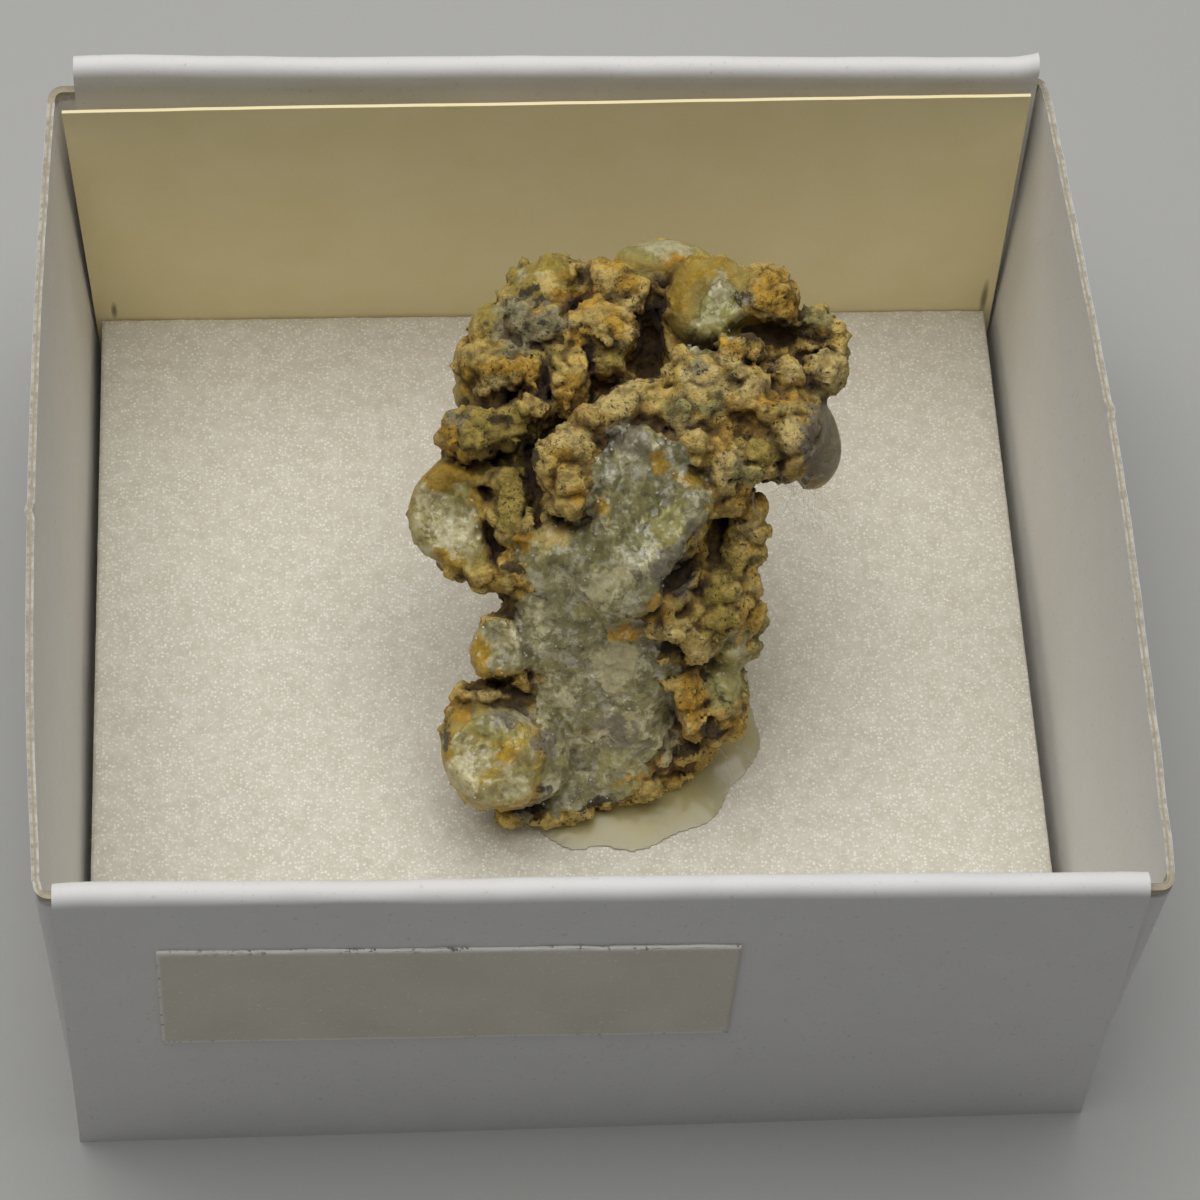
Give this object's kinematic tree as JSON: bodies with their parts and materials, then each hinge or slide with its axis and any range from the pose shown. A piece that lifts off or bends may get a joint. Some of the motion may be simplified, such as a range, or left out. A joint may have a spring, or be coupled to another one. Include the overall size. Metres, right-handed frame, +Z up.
{
  "type": "smithsonite specimen",
  "caption": "Knobbly tan and green-grey smithsonite on a glue foot, standing on the foam floor of a small open card box with a name card.",
  "frame": {"origin": "middle of the card box's underside", "axes": "+X along the front wall to the right, +Y from the front wall to the back wall, +Z up"},
  "size_m": [0.0427, 0.041, 0.0214],
  "materials": {
    "white_card": "matte coated card, raw brown core at cut edges",
    "white_foam": "matte, fine bright cells",
    "cream_card": "matte",
    "label_paper": "matte",
    "clear_glue": "glossy, cloudy and see-through",
    "smithsonite": "earthy tan crust, sugary broken faces, waxy clear lobes"
  },
  "bodies": {
    "root": {"card_tray": "white_card", "foam_pad": "white_foam", "name_card": "cream_card", "number_label": "label_paper", "glue_blob": "clear_glue", "smithsonite": "smithsonite"}
  },
  "joints": []
}
